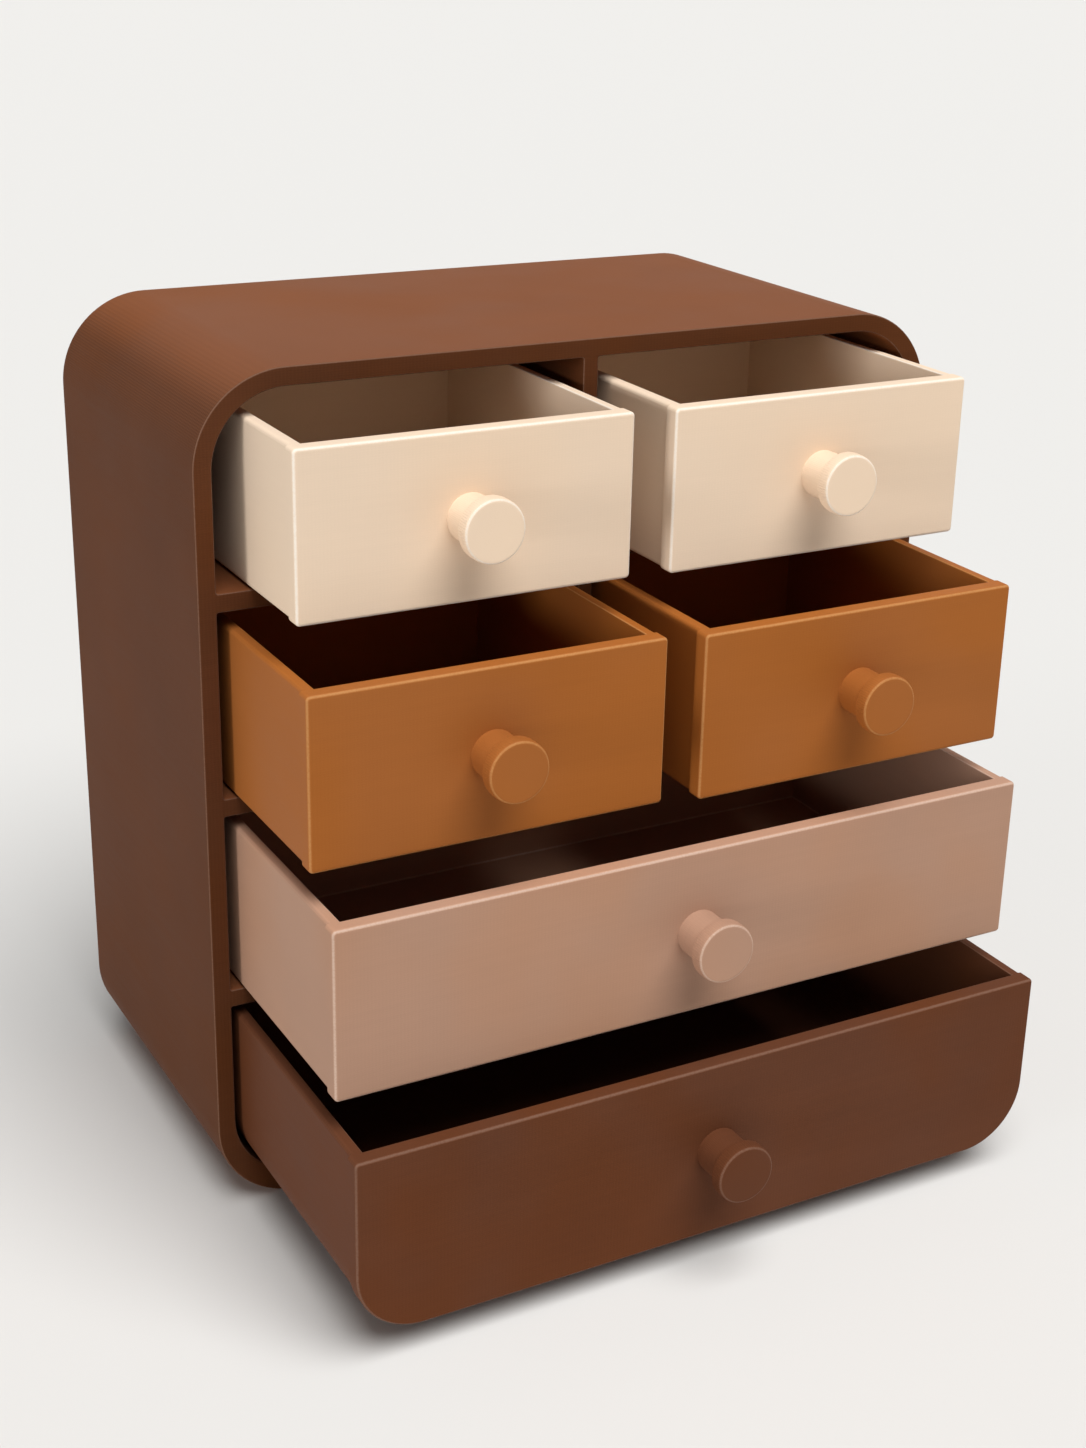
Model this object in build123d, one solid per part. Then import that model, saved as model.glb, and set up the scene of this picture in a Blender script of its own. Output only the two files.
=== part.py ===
from build123d import *
import os

# Desktop mini drawers: a rounded case with four rows of drawers.
# Millimetres, +Z up. The origin is the middle of the case's flat underside,
# and the drawer fronts face -Y.

# ---- case ----
case_width = 160.0
case_depth = 78.0
corner_radius = 18.0       # long outer edges of the case, front to back
wall = 3.6                 # left, right and top of the case
base_thickness = 5.2       # floor of the case
back_thickness = 3.2
shelf_thickness = 3.6
divider_thickness = 3.2    # upright panel between the paired drawers
upper_rows = 3
row_height = 36.8          # clear height of each upper row
bottom_row_height = 40.0   # clear height of the lowest row
rim_bevel = 0.5            # on the case's outer edges, front and back

# ---- drawers ----
front_thickness = 3.4
side_thickness = 2.3       # side and rear walls of the trays
tray_floor = 2.4
front_overhang = 0.6       # the front is this much wider than the tray, each side
glide_gap = 0.3            # air between a tray and the shelf under it
rear_gap = 0.8             # air behind a closed tray
edge_softening = 0.6       # rounding round the edge of a drawer front
side_gap = 1.8             # air beside the caramel and taupe fronts
cream_outer_gap = 5.8      # wider, so that the square corner clears the case's bend
cream_inner_gap = 2.4
brown_side_gap = 0.9
cream_front_height = 31.6
caramel_front_height = 33.0
taupe_front_height = 33.8
brown_front_height = 37.4

# ---- how far each drawer stands open ----
cream_left_open = 23.7
cream_right_open = 24.8
caramel_left_open = 37.3
caramel_right_open = 39.4
taupe_open = 46.9
brown_open = 57.5

# ---- knobs and their screws ----
cap_diameter = 12.0
cap_thickness = 3.0
stem_diameter = 9.2
stem_length = 7.0
cap_edge_bevel = 0.5       # round the cap's face
screw_diameter = 3.0
screw_length = 10.0        # under the head
screw_head_diameter = 5.6
screw_head_height = 2.0
screw_head_bevel = 0.7
recess_width = 0.9         # cross recess in the head
recess_length = 3.0
recess_depth = 1.1
thread_clearance = 0.05    # screw to knob, on the radius
hole_clearance = 0.2       # screw to drawer front, on the radius
hole_end_room = 0.6        # the knob's hole runs on past the screw's tip

# ---- places that follow from the sizes above ----
case_height = (base_thickness + bottom_row_height
               + upper_rows * (shelf_thickness + row_height) + wall)
front_y = -case_depth / 2
back_y = case_depth / 2
inner_half = case_width / 2 - wall
inner_radius = corner_radius - wall
cell_depth = case_depth - back_thickness
tray_length = cell_depth - rear_gap
brown_corner_radius = inner_radius - brown_side_gap   # its lower corners follow the case
shelf_tops = [base_thickness + bottom_row_height + shelf_thickness
              + n * (row_height + shelf_thickness) for n in range(upper_rows)]
taupe_floor, caramel_floor, cream_floor = shelf_tops


def rounded_outline(half_width, bottom, top, low_radius, high_radius):
    """Upright face at Y = 0, with its lower and upper corners rounded."""
    with BuildSketch() as sketch:
        with Locations((0, (bottom + top) / 2)):
            Rectangle(2 * half_width, top - bottom)
        if low_radius > 0:
            fillet(sketch.vertices().group_by(Axis.Y)[0], low_radius)
        if high_radius > 0:
            fillet(sketch.vertices().group_by(Axis.Y)[-1], high_radius)
    return Plane.XZ * sketch.sketch


def along_y(face, start, length):
    """Solid swept along +Y from the plane Y = start."""
    return extrude(face.moved(Location((0, start, 0))), amount=length, dir=(0, 1, 0))


def block(x_range, y_range, z_range):
    """Box between two corners."""
    size = [hi - lo for lo, hi in (x_range, y_range, z_range)]
    middle = [(hi + lo) / 2 for lo, hi in (x_range, y_range, z_range)]
    return Pos(*middle) * Box(*size)


def case():
    """Shell, closed back, three shelves and the divider, printed in one piece."""
    outer = rounded_outline(case_width / 2, 0, case_height, corner_radius, corner_radius)
    shell = along_y(outer, front_y, case_depth)
    rims = shell.faces().sort_by(Axis.Y)
    shell = chamfer(rims[0].edges() + rims[-1].edges(), rim_bevel)
    inner = rounded_outline(inner_half, base_thickness, case_height - wall,
                            inner_radius, inner_radius)
    hollow = along_y(inner, front_y, cell_depth)
    panels = [block((-case_width / 2, case_width / 2), (front_y, back_y),
                    (top - shelf_thickness, top)) for top in shelf_tops]
    panels.append(block((-divider_thickness / 2, divider_thickness / 2), (front_y, back_y),
                        (caramel_floor, case_height - wall)))
    for panel in panels:
        hollow = hollow - panel
    return shell - hollow


def screw_hole(face_y, z):
    """Round hole for the knob's screw, from front to back through a drawer front at X = 0."""
    radius = screw_diameter / 2 + hole_clearance
    place = Pos(0, face_y + front_thickness / 2, z) * Rot(90, 0, 0)
    return place * Cylinder(radius, front_thickness)


def drawer(left, right, floor, height, opened, low_radius):
    """Tray with its front; floor is the shelf that it glides on."""
    middle = (left + right) / 2
    half = (right - left) / 2
    bottom = floor + glide_gap
    top = bottom + height
    face_y = front_y - opened
    plate = along_y(rounded_outline(half, bottom, top, low_radius, 0), face_y, front_thickness)
    plate = fillet(plate.faces().sort_by(Axis.Y)[0].edges(), edge_softening)
    tray_half = half - front_overhang
    tray = along_y(rounded_outline(tray_half, bottom, top, low_radius, 0),
                   face_y + front_thickness, tray_length - front_thickness)
    hollow_half = tray_half - side_thickness
    hollow_radius = max(low_radius - side_thickness, 0)
    hollow = along_y(rounded_outline(hollow_half, bottom + tray_floor, top, hollow_radius, 0),
                     face_y + front_thickness, tray_length - front_thickness - side_thickness)
    body = (plate + tray) - hollow - screw_hole(face_y, (bottom + top) / 2)
    return Pos(middle, 0, 0) * body


def knob(left, right, floor, height, opened):
    """Mushroom knob on the middle of a drawer front, turned about its axis."""
    with BuildSketch() as sketch:
        with BuildLine():
            Polyline((0, 0), (stem_diameter / 2, 0), (stem_diameter / 2, stem_length),
                     (cap_diameter / 2, stem_length),
                     (cap_diameter / 2, stem_length + cap_thickness),
                     (0, stem_length + cap_thickness), close=True)
        make_face()
        rim = sketch.vertices().group_by(Axis.X)[-1]
        chamfer(rim.sort_by(Axis.Y)[-1], cap_edge_bevel)
    turned = revolve(Plane.XZ * sketch.sketch, Axis.Z)
    depth = screw_length - front_thickness + hole_end_room
    bore = Cylinder(screw_diameter / 2 + thread_clearance, depth,
                    align=(Align.CENTER, Align.CENTER, Align.MIN))
    place = Pos((left + right) / 2, front_y - opened, floor + glide_gap + height / 2)
    return place * Rot(90, 0, 0) * (turned - bore)


def knob_screw(left, right, floor, height, opened):
    """Pan-head screw, put in from inside the drawer."""
    shank = Cylinder(screw_diameter / 2, screw_length,
                     align=(Align.CENTER, Align.CENTER, Align.MIN))
    head = Pos(0, 0, -screw_head_height) * Cylinder(
        screw_head_diameter / 2, screw_head_height,
        align=(Align.CENTER, Align.CENTER, Align.MIN))
    head = chamfer(head.edges().sort_by(Axis.Z)[0], screw_head_bevel)
    slot = Box(recess_length, recess_width, recess_depth,
               align=(Align.CENTER, Align.CENTER, Align.MIN))
    cross = slot + Rot(0, 0, 90) * slot
    screw = (shank + head) - Pos(0, 0, -screw_head_height) * cross
    place = Pos((left + right) / 2, front_y - opened + front_thickness,
                floor + glide_gap + height / 2)
    return place * Rot(90, 0, 0) * screw


cream_span = (divider_thickness / 2 + cream_inner_gap, inner_half - cream_outer_gap)
caramel_span = (divider_thickness / 2 + side_gap, inner_half - side_gap)
taupe_half = inner_half - side_gap
brown_half = inner_half - brown_side_gap

# name: left edge, right edge, shelf under it, front height, how far it stands open
drawers = {
    "cream_left": (-cream_span[1], -cream_span[0], cream_floor,
                   cream_front_height, cream_left_open),
    "cream_right": (cream_span[0], cream_span[1], cream_floor,
                    cream_front_height, cream_right_open),
    "caramel_left": (-caramel_span[1], -caramel_span[0], caramel_floor,
                     caramel_front_height, caramel_left_open),
    "caramel_right": (caramel_span[0], caramel_span[1], caramel_floor,
                      caramel_front_height, caramel_right_open),
    "taupe": (-taupe_half, taupe_half, taupe_floor, taupe_front_height, taupe_open),
    "brown": (-brown_half, brown_half, base_thickness, brown_front_height, brown_open),
}


def main():
    os.makedirs("parts", exist_ok=True)
    export_step(case(), "parts/case.step")
    for name, place in drawers.items():
        low_radius = brown_corner_radius if name == "brown" else 0
        export_step(drawer(*place, low_radius), f"parts/drawer_{name}.step")
        export_step(knob(*place), f"parts/knob_{name}.step")
        export_step(knob_screw(*place), f"parts/knob_screw_{name}.step")


main()
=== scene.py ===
import math
import bmesh
import bpy
from mathutils import Matrix, Vector


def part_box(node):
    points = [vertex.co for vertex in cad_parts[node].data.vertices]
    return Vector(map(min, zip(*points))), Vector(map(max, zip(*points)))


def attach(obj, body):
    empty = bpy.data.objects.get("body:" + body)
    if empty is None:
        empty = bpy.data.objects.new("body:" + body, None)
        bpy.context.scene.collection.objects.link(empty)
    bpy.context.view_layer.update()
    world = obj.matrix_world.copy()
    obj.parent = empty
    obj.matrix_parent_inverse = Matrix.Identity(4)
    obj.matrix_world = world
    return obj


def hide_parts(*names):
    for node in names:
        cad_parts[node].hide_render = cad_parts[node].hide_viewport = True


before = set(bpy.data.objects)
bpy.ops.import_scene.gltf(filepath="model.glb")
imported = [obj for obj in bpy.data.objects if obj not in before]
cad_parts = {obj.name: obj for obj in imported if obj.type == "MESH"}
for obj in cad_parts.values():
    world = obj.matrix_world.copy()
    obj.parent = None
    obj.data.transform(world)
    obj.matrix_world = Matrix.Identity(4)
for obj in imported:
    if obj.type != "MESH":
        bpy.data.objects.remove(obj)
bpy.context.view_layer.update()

mm = 0.001
rightAngle = math.pi / 2
roundingSteps = 5          # faces across each small rounded edge
fewSteps = 3               # faces across the finest ones
cornerSteps = 24           # faces round each large corner
smallCorner = 2.0          # millimetres: corners under this get roundingSteps faces
mergeDistance = 0.0005     # millimetres
sharpAngle = 40            # degrees between faces, past which an edge shades as sharp


class Wire:
    # One socket of a node tree. Sums and products of it add Math nodes.
    def __init__(self, tree, socket=None):
        self.tree = tree
        self.socket = socket

    def node(self, kind, settings, sockets, output=0):
        made = self.tree.nodes.new(kind)
        for key, value in settings.items():
            setattr(made, key, value)
        for key, value in sockets.items():
            if isinstance(value, Wire):
                self.tree.links.new(value.socket, made.inputs[key])
            else:
                made.inputs[key].default_value = value
        return Wire(self.tree, made.outputs[output] if made.outputs else None)

    def maths(self, operation, first, second=0.0):
        return self.node("ShaderNodeMath", {"operation": operation}, {0: first, 1: second})

    def __add__(self, other):
        return self.maths("ADD", self, other)

    __radd__ = __add__

    def __sub__(self, other):
        return self.maths("SUBTRACT", self, other)

    def __rsub__(self, other):
        return self.maths("SUBTRACT", other, self)

    def __mul__(self, other):
        return self.maths("MULTIPLY", self, other)

    __rmul__ = __mul__

    def __abs__(self):
        return self.maths("ABSOLUTE", self)

    def lines(self, pitch):
        # an even wave between -1 and 1 that repeats every pitch
        return self.maths("SINE", self * (2 * math.pi / pitch))

    def smooth(self, low, high):
        # 0 below low, 1 above high, with a soft change between them
        return self.node("ShaderNodeMapRange", {"interpolation_type": "SMOOTHSTEP"},
                         {"Value": self, "From Min": low, "From Max": high})

    def noise(self, scale, detail=2.0, roughness=0.5):
        return self.node("ShaderNodeTexNoise", {},
                         {"Vector": self, "Scale": scale, "Detail": detail,
                          "Roughness": roughness})

    def stretch(self, x, y, z):
        return self.node("ShaderNodeVectorMath", {"operation": "MULTIPLY"},
                         {0: self, 1: (x, y, z)})

    def blend(self, first, second):
        # this wire is the share of the second colour
        return self.node("ShaderNodeMix", {"data_type": "RGBA"},
                         {"Factor": self, 6: first, 7: second}, output=2)


def newMaterial(name):
    material = bpy.data.materials.new(name)
    material.use_nodes = True
    material.node_tree.nodes.clear()
    return material, Wire(material.node_tree)


def finishMaterial(start, shader):
    start.node("ShaderNodeOutputMaterial", {}, {"Surface": shader})


plastics = {
    # colour of the walls and of the paler edges (painted highlight with some wear), how far the
    # colour drifts, how much duller its clouds are, how much lighter the level tops are painted
    # (painted light), how strongly the printed lines and their painted groove shade show, and
    # the shine
    "case": {"colour": (0.100, 0.0340, 0.0130), "edge": (0.17, 0.090, 0.058), "drift": 0.13,
             "clouds": 0.05, "topSkinAndPaintedLight": 0.9, "lines": 0.6, "gloss": 0.03},
    "cream": {"colour": (0.790, 0.618, 0.462), "edge": (0.86, 0.77, 0.67), "drift": 0.03,
              "clouds": 0.05, "topSkinAndPaintedLight": 0.06, "lines": 0.10, "gloss": 0.09},
    "caramel": {"colour": (0.340, 0.110, 0.023), "edge": (0.47, 0.210, 0.070), "drift": 0.06,
                "clouds": 0.02, "topSkinAndPaintedLight": 0.06, "lines": 0.20, "gloss": 0.09},
    "taupe": {"colour": (0.422, 0.240, 0.158), "edge": (0.57, 0.40, 0.31), "drift": 0.06,
              "clouds": 0.09, "topSkinAndPaintedLight": 0.12, "lines": 0.22, "gloss": 0.09},
    "brown": {"colour": (0.114, 0.039, 0.017), "edge": (0.18, 0.092, 0.060), "drift": 0.11,
              "clouds": 0.08, "topSkinAndPaintedLight": 0.0, "lines": 0.32, "gloss": 0.05},
}

plasticFinish = {
    "layerHeight": 0.28 * mm,      # printed layers, seen on every upright face
    "layerDepth": 0.005 * mm,
    "heavyLayer": 0.45 * mm,       # the coarser beat that shows from further off
    "heavyDepth": 0.022 * mm,
    "weavePitch": 0.70 * mm,       # faint lines across the layers
    "weaveDepth": 0.014 * mm,
    "skinPitch": 0.45 * mm,        # slanted lines of the level skins
    "skinDepth": 0.004 * mm,
    "lineShade": 0.13,             # painted shade: how much darker the grooves are, and lighter the ridges
    "grainSize": 0.35 * mm,
    "grainDepth": 0.012 * mm,
    "patchSize": 9 * mm,           # patches where the lines show more or less
    "bandHeight": 1.1 * mm,        # a few layers that took the colour a little differently
    "bandStretch": 0.04,           # how little a band changes along its layer
    "blotchSize": 26 * mm,
    "cloudSize": 42 * mm,
    "roughness": 0.52,
    "roughnessDrift": 0.10,
}


def printedPlastic(name, look, standing="Z"):
    # standing is the axis that the piece was printed along
    finish = plasticFinish
    material, start = newMaterial(name)
    place = start.node("ShaderNodeTexCoord", {}, {}, output="Object")
    normal = start.node("ShaderNodeNewGeometry", {}, {}, output="Normal")

    def part(vector, axis):
        return start.node("ShaderNodeSeparateXYZ", {}, {"Vector": vector}, output=axis)

    level = part(place, standing)
    other = "Y" if standing == "Z" else "Z"
    facing = abs(part(normal, standing))       # 1 on level faces, 0 on upright ones
    flat = facing.smooth(0.985, 0.999)         # level faces only
    sloped = facing.smooth(0.02, 0.5) * (1 - facing.smooth(0.80, 0.97))     # the long bends
    turned = abs(part(normal, other)).smooth(0.6, 0.8)      # faces to the front and back
    across = turned * part(place, "X") + (1 - turned) * part(place, other)

    # layers and weave on upright faces, slanted skin lines on level ones
    patchy = place.noise(1 / finish["patchSize"], 2.0, 0.5)
    heavy = level.lines(finish["heavyLayer"]) * (patchy * 0.6 + 0.1 + sloped)
    weave = across.lines(finish["weavePitch"]) * (patchy * 0.5 + 0.1 + sloped * 0.7)
    topSkinAndPaintedLight = (part(place, "X") + part(place, other)).lines(finish["skinPitch"])
    grain = place.noise(1 / finish["grainSize"], 3.0, 0.6)
    height = ((level.lines(finish["layerHeight"]) * (finish["layerDepth"] / 2)
               + heavy * (finish["heavyDepth"] / 2 * (0.1 + 0.9 * look["lines"]))
               + weave * (finish["weaveDepth"] / 2 * look["lines"])) * (1 - flat)
              + topSkinAndPaintedLight * (finish["skinDepth"] / 2) * flat + grain * finish["grainDepth"])
    bump = start.node("ShaderNodeBump", {}, {"Height": height, "Strength": 1.0, "Distance": 1.0})
    # painted shade: the grooves of the printed lines are made darker and their ridges lighter
    shade = (heavy + weave) * (1 - flat) * (finish["lineShade"] * look["lines"])

    # colour: blotches, duller clouds, thin bands along the layers, painted shade in the grooves,
    # painted light on level tops, and paler edges that are a painted highlight with some wear
    blotches = place.noise(1 / finish["blotchSize"], 3.0, 0.55)
    cloudy = place.noise(1 / finish["cloudSize"], 2.0, 0.5).smooth(0.35, 0.65)
    dull = (cloudy - 0.5) * look["clouds"]
    slow = finish["bandStretch"]
    squeeze = (slow, slow, 1) if standing == "Z" else (slow, 1, slow)
    bands = place.stretch(*squeeze).noise(1 / finish["bandHeight"], 2.0, 0.6)
    # the random drift of blotches and bands, with the painted groove shade added in
    drift = ((blotches - 0.5) * (2 * look["drift"]) + (bands - 0.5) * look["drift"] + shade
             - dull * 0.4)
    # painted light: level faces, the case's top most of all, are made lighter, standing in for
    # the light that falls on tops
    paintedTopLight = facing.smooth(0.55, 1.0) * look["topSkinAndPaintedLight"]
    tone = start.node("ShaderNodeHueSaturation", {},
                      {"Color": (*look["colour"], 1), "Saturation": 1 - dull,
                       "Value": drift + paintedTopLight + 1})
    # paler edges: a painted highlight along the rounded edges, with some wear
    wornAndHighlit = start.node("ShaderNodeAttribute", {"attribute_name": "edgeWearAndPaintedHighlight"}, {}, output="Fac")
    ragged = (wornAndHighlit * (0.55 + 0.9 * grain)).smooth(0.35, 1.1)
    colour = ragged.blend(tone, (*look["edge"], 1))
    roughness = (bands - 0.5) * finish["roughnessDrift"] + finish["roughness"]
    shader = start.node("ShaderNodeBsdfPrincipled", {},
                        {"Base Color": colour, "Roughness": roughness, "IOR": 1.46,
                         "Specular IOR Level": look["gloss"], "Normal": bump})
    finishMaterial(start, shader)
    return material


plasticMaterials = {key: printedPlastic(key + "PrintedPlastic", look)
                    for key, look in plastics.items()}
# the knobs get no painted light on their level faces
knobMaterials = {key: printedPlastic(key + "KnobPlastic", {**look, "topSkinAndPaintedLight": 0.0}, standing="Y")
                 for key, look in plastics.items() if key != "case"}

screwFinish = {
    "colour": (0.58, 0.58, 0.60),
    "roughness": 0.32,
    "scratchSize": 0.25 * mm,
    "scratchDepth": 0.004 * mm,
}


def zincSteel(name, look):
    material, start = newMaterial(name)
    place = start.node("ShaderNodeTexCoord", {}, {}, output="Object")
    grain = place.stretch(1, 0.1, 1).noise(1 / look["scratchSize"], 3.0, 0.6)
    cloud = place.noise(0.2 / look["scratchSize"], 2.0, 0.5)
    bump = start.node("ShaderNodeBump", {}, {"Height": grain * look["scratchDepth"],
                                             "Strength": 1.0, "Distance": 1.0})
    tone = start.node("ShaderNodeHueSaturation", {},
                      {"Color": (*look["colour"], 1), "Value": cloud * 0.3 + 0.85})
    shader = start.node("ShaderNodeBsdfPrincipled", {},
                        {"Base Color": tone, "Metallic": 1.0,
                         "Roughness": cloud * 0.2 + look["roughness"] - 0.1, "Normal": bump})
    finishMaterial(start, shader)
    return material


screwMaterial = zincSteel("zincPlatedSteel", screwFinish)
print("materials made")


def cadBox(node):
    low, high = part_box(node)
    return low / mm, high / mm


def roundedFace(bm, left, right, bottom, top, y, corners):
    # Upright face at depth y, looking out of the front. corners are the radii from the
    # lower left one round to the lower right, upper right and upper left ones.
    earlier = set(bm.faces)
    made = bmesh.ops.create_grid(bm, x_segments=1, y_segments=1, size=0.5)["verts"]
    width, height = right - left, top - bottom
    bmesh.ops.scale(bm, vec=(width, height, 1), verts=made)
    bmesh.ops.rotate(bm, cent=(0, 0, 0), matrix=Matrix.Rotation(rightAngle, 3, "X"), verts=made)
    middle = Vector(((left + right) / 2, y, (bottom + top) / 2))
    bmesh.ops.translate(bm, vec=middle, verts=made)
    places = [(left, bottom), (right, bottom), (right, top), (left, top)]
    for (x, z), radius in zip(places, corners):
        if radius > 0:
            corner = min(bm.verts, key=lambda v: (v.co - Vector((x, y, z))).length)
            bmesh.ops.bevel(bm, geom=[corner], offset=radius, offset_type="OFFSET",
                            segments=cornerSteps if radius > smallCorner else roundingSteps,
                            profile=0.5, affect="VERTICES", material=-1,
                            clamp_overlap=False)
    return [f for f in bm.faces if f not in earlier][0]


def push(bm, face, distance):
    # moves a face along its normal and walls in the way it came
    bmesh.ops.inset_region(bm, faces=[face], thickness=0, depth=distance, use_boundary=True,
                           use_even_offset=True)


def narrow(bm, face, middleX, before, after, distance):
    # moves a face along its normal and brings its left and right ends in
    push(bm, face, distance)
    bmesh.ops.scale(bm, vec=(after / before, 1, 1), verts=face.verts,
                    space=Matrix.Translation((-middleX, 0, 0)))


def roundOver(bm, face, radius, forward=1, lip=False):
    # Rolls the edge round a face over a quarter circle. forward is 1 out of the solid and
    # -1 into it. A lip starts level with the face, any other edge level with its walls.
    wearAndHighlight = bm.verts.layers.float["edgeWearAndPaintedHighlight"]
    for step in range(roundingSteps):
        a = rightAngle * step / roundingSteps
        b = rightAngle * (step + 1) / roundingSteps
        slow = radius * (math.cos(a) - math.cos(b))
        fast = radius * (math.sin(b) - math.sin(a))
        across, along = (fast, slow) if lip else (slow, fast)
        bmesh.ops.inset_region(bm, faces=[face], thickness=across, depth=forward * along,
                               use_boundary=True, use_even_offset=True)
        # marks the rounding for the paler edge colour, a painted highlight with some wear,
        # strongest mid-way round
        for v in face.verts:
            v[wearAndHighlight] = math.sin(math.pi * (step + 1) / roundingSteps)


def startMesh():
    bm = bmesh.new()
    bm.verts.layers.float.new("edgeWearAndPaintedHighlight")
    return bm


def finishPiece(bm, name, material, body, replaced):
    bmesh.ops.remove_doubles(bm, verts=bm.verts, dist=mergeDistance)
    bmesh.ops.recalc_face_normals(bm, faces=bm.faces)
    bmesh.ops.scale(bm, vec=(mm, mm, mm), verts=bm.verts)
    mesh = bpy.data.meshes.new(name)
    bm.to_mesh(mesh)
    bm.free()
    mesh.shade_smooth()
    mesh.set_sharp_from_angle(angle=math.radians(sharpAngle))
    piece = bpy.data.objects.new(name, mesh)
    bpy.context.scene.collection.objects.link(piece)
    mesh.materials.append(material)
    evened = piece.modifiers.new("evenShading", "WEIGHTED_NORMAL")
    evened.keep_sharp = True
    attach(piece, body)
    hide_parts(replaced)


caseShape = {
    "cornerRadius": 18.0,
    "wall": 3.6,
    "baseThickness": 5.2,
    "backThickness": 3.2,
    "shelfThickness": 3.6,
    "dividerThickness": 3.2,
    "rowHeight": 36.8,
    "bottomRowHeight": 40.0,
    "outerEdge": 0.35,
    "cellEdge": 0.3,          # rounding round the mouth of each cell
    "cellCorner": 0.4,
}


def caseCells(low, high):
    # left, right, bottom and top of each cell, and the radii of its corners
    shape = caseShape
    side = high.x - shape["wall"]
    half = shape["dividerThickness"] / 2
    bend = shape["cornerRadius"] - shape["wall"]
    small = shape["cellCorner"]
    floors = [low.z + shape["baseThickness"]]
    floors.append(floors[0] + shape["bottomRowHeight"] + shape["shelfThickness"])
    for row in range(2):
        floors.append(floors[-1] + shape["rowHeight"] + shape["shelfThickness"])
    tops = [floor - shape["shelfThickness"] for floor in floors[1:]]
    tops.append(high.z - shape["wall"])
    return [
        (-side, side, floors[0], tops[0], (bend, bend, small, small)),
        (-side, side, floors[1], tops[1], (small,) * 4),
        (-side, -half, floors[2], tops[2], (small,) * 4),
        (half, side, floors[2], tops[2], (small,) * 4),
        (-side, -half, floors[3], tops[3], (small, small, small, bend)),
        (half, side, floors[3], tops[3], (small, small, bend, small)),
    ]


def buildCase():
    shape = caseShape
    low, high = cadBox("case")
    edge, lip = shape["outerEdge"], shape["cellEdge"]
    bm = startMesh()
    front = roundedFace(bm, low.x, high.x, low.z, high.z, low.y + edge,
                        (shape["cornerRadius"],) * 4)
    grown = bmesh.ops.extrude_face_region(bm, geom=[front], use_keep_orig=True)["geom"]
    bmesh.ops.translate(bm, vec=(0, high.y - low.y - 2 * edge, 0),
                        verts=[g for g in grown if isinstance(g, bmesh.types.BMVert)])
    back = [g for g in grown if isinstance(g, bmesh.types.BMFace)][0]
    bmesh.ops.recalc_face_normals(bm, faces=bm.faces)
    roundOver(bm, front, edge)
    roundOver(bm, back, edge)
    bmesh.ops.delete(bm, geom=[front], context="FACES_ONLY")

    for left, right, bottom, top, corners in caseCells(low, high):
        mouth = roundedFace(bm, left - lip, right + lip, bottom - lip, top + lip, low.y,
                            [c + lip for c in corners])
        roundOver(bm, mouth, lip, forward=-1, lip=True)
        push(bm, mouth, lip - (high.y - low.y - shape["backThickness"]))
    rim = [e for e in bm.edges if e.is_boundary]
    bmesh.ops.triangle_fill(bm, edges=rim, use_beauty=True, normal=(0, -1, 0))
    finishPiece(bm, "caseShell", plasticMaterials["case"], "case", "case")


buildCase()
print("case made")


drawerShape = {
    "plateThickness": 3.4,
    "plateEdge": 0.65,         # rounding round the front
    "plateCorner": 0.85,
    "sideOverhang": 0.6,       # the front is this much wider than the tray, each side
    "overhangEdge": 0.12,      # slope behind the front, where the tray begins
    "wall": 2.3,
    "floor": 2.4,
    "rimEdge": 0.3,            # rounding of the tray's inner rim
    "rearEdge": 0.35,
    "floorEdge": 0.5,          # where the walls meet the floor inside
    "brownCorner": 13.5,       # lower corners of the lowest drawer
    "rearHighlightAndWear": 0.35,          # painted highlight and wear of the front's rear edge, from 0 to 1
}


def facesUp(bm):
    return [f for f in bm.faces if f.normal.z > 0.999]


def pieceName(kind, name):
    return kind + name.title().replace("_", "")


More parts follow.
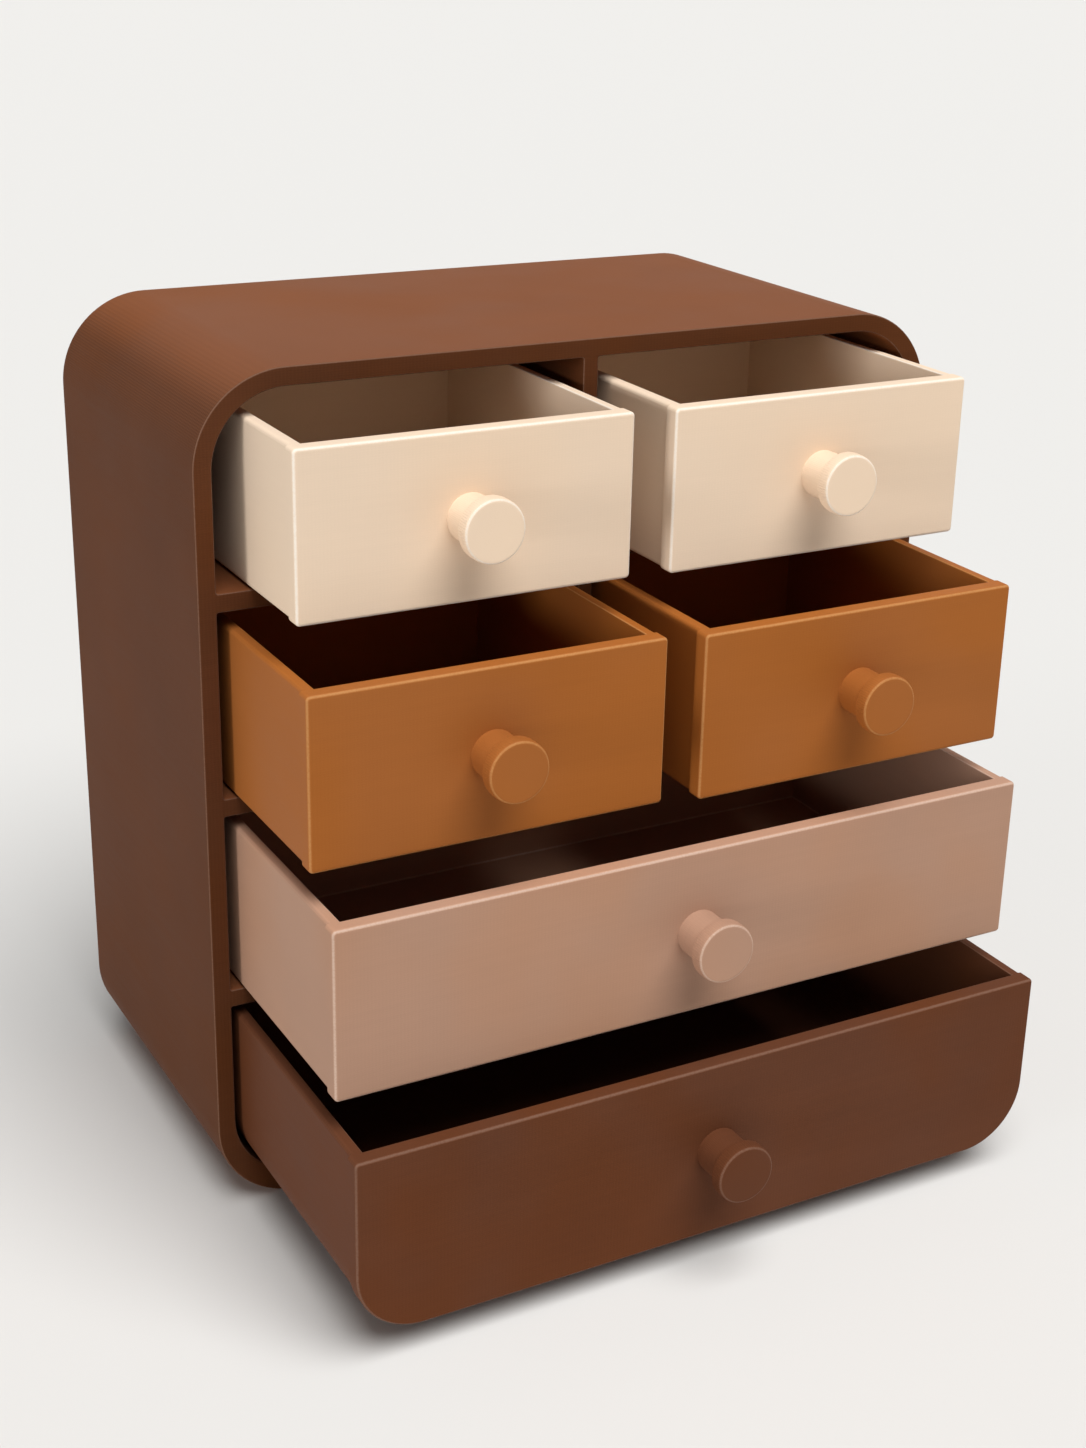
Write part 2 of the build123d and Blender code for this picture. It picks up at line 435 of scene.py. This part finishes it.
def buildDrawer(name, colour):
    shape = drawerShape
    node = "drawer_" + name
    low, high = cadBox(node)
    wide = name == "brown"
    corner, edge = shape["plateCorner"], shape["plateEdge"]
    lower = shape["brownCorner"] if wide else corner
    middleX = (low.x + high.x) / 2
    half = (high.x - low.x) / 2
    bm = startMesh()
    wearAndHighlight = bm.verts.layers.float["edgeWearAndPaintedHighlight"]
    front = roundedFace(bm, low.x, high.x, low.z, high.z, low.y + edge,
                        (lower, lower, corner, corner))
    grown = bmesh.ops.extrude_face_region(bm, geom=[front], use_keep_orig=True)["geom"]
    bmesh.ops.translate(bm, vec=(0, shape["plateThickness"] - edge, 0),
                        verts=[g for g in grown if isinstance(g, bmesh.types.BMVert)])
    rear = [g for g in grown if isinstance(g, bmesh.types.BMFace)][0]
    bmesh.ops.recalc_face_normals(bm, faces=bm.faces)
    roundOver(bm, front, edge)

    # the tray runs on from the front, a little narrower
    # a faint paler line along the front's rear edge: painted highlight, with some wear
    for v in rear.verts:
        v[wearAndHighlight] = shape["rearHighlightAndWear"]
    narrow(bm, rear, middleX, half, half - shape["sideOverhang"], shape["overhangEdge"])
    for v in rear.verts:
        v[wearAndHighlight] = 0.0
    push(bm, rear, high.y - low.y - shape["plateThickness"] - shape["overhangEdge"]
         - shape["rearEdge"])
    roundOver(bm, rear, shape["rearEdge"])

    # the hollow is cut down from the level top
    rim = shape["rimEdge"]
    inner = half - shape["sideOverhang"] - shape["wall"] + rim
    mouthFront = low.y + shape["plateThickness"] - rim
    mouthBack = high.y - shape["wall"] + rim
    for plane, direction in (((middleX - inner, 0, 0), (1, 0, 0)),
                             ((middleX + inner, 0, 0), (1, 0, 0)),
                             ((0, mouthFront, 0), (0, 1, 0)),
                             ((0, mouthBack, 0), (0, 1, 0))):
        level = facesUp(bm)
        sides = dict.fromkeys(e for f in level for e in f.edges)
        corners = dict.fromkeys(v for f in level for v in f.verts)
        bmesh.ops.bisect_plane(bm, geom=[*level, *sides, *corners], dist=0.0001,
                               plane_co=plane, plane_no=direction)
    bm.normal_update()
    inside = [f for f in facesUp(bm)
              if abs(f.calc_center_median().x - middleX) < inner
              and mouthFront < f.calc_center_median().y < mouthBack]
    mouth = bmesh.ops.dissolve_faces(bm, faces=inside, use_verts=True)["region"][0]
    roundOver(bm, mouth, rim, forward=-1, lip=True)
    down = high.z - low.z - shape["floor"] - rim
    if wide:
        # its sides bend in to the floor
        bend = shape["brownCorner"] - shape["wall"]
        push(bm, mouth, bend - down)
        reach = inner - rim
        for step in range(cornerSteps):
            a = rightAngle * step / cornerSteps
            b = rightAngle * (step + 1) / cornerSteps
            narrow(bm, mouth, middleX, reach - bend * (1 - math.cos(a)),
                   reach - bend * (1 - math.cos(b)), bend * (math.sin(a) - math.sin(b)))
    else:
        push(bm, mouth, -(down - shape["floorEdge"]))
        roundOver(bm, mouth, shape["floorEdge"], forward=-1)
    finishPiece(bm, pieceName("drawer", name), plasticMaterials[colour], node,
                node)


drawerColours = {"cream_left": "cream", "cream_right": "cream", "caramel_left": "caramel",
                 "caramel_right": "caramel", "taupe": "taupe", "brown": "brown"}
for drawerName, drawerColour in drawerColours.items():
    buildDrawer(drawerName, drawerColour)
print("drawers made")


knobShape = {
    "stemRadius": 4.6,
    "capThickness": 3.0,
    "faceEdge": 0.6,           # rounding round the cap's face
    "underEdge": 0.25,
    "rootRadius": 0.5,         # between the stem and the cap
    "faceRing": 0.3,           # flat ring of the cap's face, inside its rounding
    "rimHighlightAndWear": 0.8,            # painted highlight and wear of the cap's rounding, from 0 to 1
    "ridges": 84,              # round the cap's rim
    "ridgeDepth": 0.13,        # at the bottom
    "shallowRidges": 0.35,     # share of that depth at the top
    "stemLineDepth": 0.055,
    "stepsPerRidge": 4,
    "stemRings": 9,            # printed layers that show on the stem
    "ringDepth": 0.05,
}


def arc(centreX, centreY, radius, fromAngle, toAngle, steps):
    # points of a rounded edge in the knob's profile, both ends included
    angles = [math.radians(fromAngle + (toAngle - fromAngle) * n / steps)
              for n in range(steps + 1)]
    return [(centreX + radius * math.cos(a), centreY + radius * math.sin(a)) for a in angles]


def buildKnob(name, colour):
    shape = knobShape
    node = "knob_" + name
    low, high = cadBox(node)
    reach = high.y - low.y
    capRadius = (high.x - low.x) / 2
    stem, thick = shape["stemRadius"], shape["capThickness"]
    faceEdge, under, root = shape["faceEdge"], shape["underEdge"], shape["rootRadius"]
    # radius from the axis, and height over the drawer front
    profile = [(0.0, 0.0), (stem, 0.0)]
    stemLength = reach - thick - root
    for ring in range(shape["stemRings"]):
        profile += [(stem - shape["ringDepth"], stemLength * (ring + 0.5) / shape["stemRings"]),
                    (stem, stemLength * (ring + 1) / shape["stemRings"])]
    profile += arc(stem + root, stemLength, root, 180, 90, fewSteps)[1:]
    profile += arc(capRadius - under, reach - thick + under, under, -90, 0, fewSteps)
    profile += arc(capRadius - faceEdge, reach - faceEdge, faceEdge, 0, 90, roundingSteps)
    profile += [(capRadius - faceEdge - shape["faceRing"], reach), (0.0, reach)]
    bm = startMesh()
    wearAndHighlight = bm.verts.layers.float["edgeWearAndPaintedHighlight"]
    points = [bm.verts.new((radius, 0, height)) for radius, height in profile]
    edges = [bm.edges.new(pair) for pair in zip(points, points[1:])]
    turns = shape["ridges"] * shape["stepsPerRidge"]
    bmesh.ops.spin(bm, geom=points + edges, cent=(0, 0, 0), axis=(0, 0, 1),
                   angle=2 * math.pi, steps=turns, use_merge=True)
    bmesh.ops.remove_doubles(bm, verts=bm.verts, dist=mergeDistance)
    rimHigh = reach - faceEdge * 0.3     # the ridges end part of the way up the rounding
    ridgesFrom = stem + root + 0.5
    margin = 0.1
    for v in bm.verts:
        radius = math.hypot(v.co.x, v.co.y)
        wave = 0.5 - 0.5 * math.cos(shape["ridges"] * math.atan2(v.co.y, v.co.x))
        if radius > 0:
            lowDown = 0.5 - 0.5 * v.co.y / radius
            wave *= shape["shallowRidges"] + (1 - shape["shallowRidges"]) * lowDown
        if radius > ridgesFrom and v.co.z < rimHigh:
            sunk = shape["ridgeDepth"] * wave
        elif radius > stem - margin and v.co.z < stemLength + margin:
            sunk = shape["stemLineDepth"] * wave
        else:
            sunk = 0.0
        if sunk:
            v.co.x *= (radius - sunk) / radius
            v.co.y *= (radius - sunk) / radius
        # the cap's rounding is painted paler: a painted highlight ring, with some wear
        onRounding = (capRadius - margin > radius > capRadius - faceEdge + margin
                      and v.co.z > stemLength)
        v[wearAndHighlight] = shape["rimHighlightAndWear"] if onRounding else 0.0
    # stand it on the drawer front, facing forwards
    bmesh.ops.rotate(bm, cent=(0, 0, 0), matrix=Matrix.Rotation(rightAngle, 3, "X"),
                     verts=bm.verts)
    bmesh.ops.translate(bm, vec=((low.x + high.x) / 2, high.y, (low.z + high.z) / 2),
                        verts=bm.verts)
    finishPiece(bm, pieceName("knob", name), knobMaterials[colour], "drawer_" + name,
                node)


for drawerName, drawerColour in drawerColours.items():
    buildKnob(drawerName, drawerColour)
    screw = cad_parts["knob_screw_" + drawerName]
    screw.data.materials.clear()
    screw.data.materials.append(screwMaterial)
print("knobs made")


studio = {
    "floorColour": (0.72, 0.71, 0.69),
    "floorSize": 30.0,
    "backdropColour": (0.85, 0.84, 0.82),
    "ambient": 0.14,
    "keyStrength": 3.5,                # from overhead
    "keyFrom": (0.05, -0.44, 1.0),
    "keySpread": 50.0,                 # degrees, wide for soft shadows
    "fillStrength": 1.55,              # low, from the left
    "fillFrom": (-1.0, -0.18, 0.05),
    "fillSpread": 16.0,
}


def buildStudio():
    floorMesh = bpy.data.meshes.new("floor")
    bm = bmesh.new()
    bmesh.ops.create_grid(bm, x_segments=1, y_segments=1, size=studio["floorSize"] / 2)
    bmesh.ops.translate(bm, vec=(0, 0, -0.1 * mm), verts=bm.verts)
    bm.to_mesh(floorMesh)
    bm.free()
    floor = bpy.data.objects.new("floor", floorMesh)
    bpy.context.scene.collection.objects.link(floor)
    material, start = newMaterial("paleFloor")
    shader = start.node("ShaderNodeBsdfPrincipled", {},
                        {"Base Color": (*studio["floorColour"], 1), "Roughness": 0.9})
    finishMaterial(start, shader)
    floorMesh.materials.append(material)

    world = bpy.data.worlds.new("studioWorld")
    world.use_nodes = True
    world.node_tree.nodes.clear()
    start = Wire(world.node_tree)
    soft = start.node("ShaderNodeBackground", {},
                      {"Color": (1, 1, 1, 1), "Strength": studio["ambient"]})
    seen = start.node("ShaderNodeBackground", {},
                      {"Color": (*studio["backdropColour"], 1), "Strength": 1.0})
    # the pale backdrop is seen directly and in reflections, and lights nothing else
    direct = start.node("ShaderNodeLightPath", {}, {}, output="Is Camera Ray")
    glossy = start.node("ShaderNodeLightPath", {}, {}, output="Is Glossy Ray")
    clear = start.node("ShaderNodeLightPath", {}, {}, output="Is Transmission Ray")
    backdrop = start.node("ShaderNodeMixShader", {},
                          {0: direct + glossy + clear, 1: soft, 2: seen})
    start.node("ShaderNodeOutputWorld", {}, {"Surface": backdrop})
    bpy.context.scene.world = world

    for name in ("key", "fill"):
        sun = bpy.data.lights.new(name, "SUN")
        sun.energy = studio[name + "Strength"]
        sun.angle = math.radians(studio[name + "Spread"])
        lamp = bpy.data.objects.new(name, sun)
        bpy.context.scene.collection.objects.link(lamp)
        lamp.rotation_euler = Vector(studio[name + "From"]).to_track_quat("Z", "Y").to_euler()


buildStudio()

view = {
    "place": (-200.73 * mm, -388.91 * mm, 253.32 * mm),
    "yaw": 0.507,              # radians, to the right of straight ahead
    "pitch": 0.3711,           # down
    "roll": 0.0236,
    "lens": 53.35,
    "shiftX": -0.0076,
    "shiftY": -0.0165,
}


def buildCamera():
    lens = bpy.data.cameras.new("camera")
    lens.lens = view["lens"]
    lens.sensor_width = 36.0
    lens.shift_x = view["shiftX"]
    lens.shift_y = view["shiftY"]
    lens.clip_start = 0.01
    lens.clip_end = 100.0
    camera = bpy.data.objects.new("camera", lens)
    bpy.context.scene.collection.objects.link(camera)
    camera.matrix_world = (Matrix.Translation(view["place"])
                           @ Matrix.Rotation(-view["yaw"], 4, "Z")
                           @ Matrix.Rotation(rightAngle - view["pitch"], 4, "X")
                           @ Matrix.Rotation(view["roll"], 4, "Z"))
    bpy.context.scene.camera = camera


buildCamera()
bpy.context.scene.view_settings.view_transform = "Standard"
print("studio made")
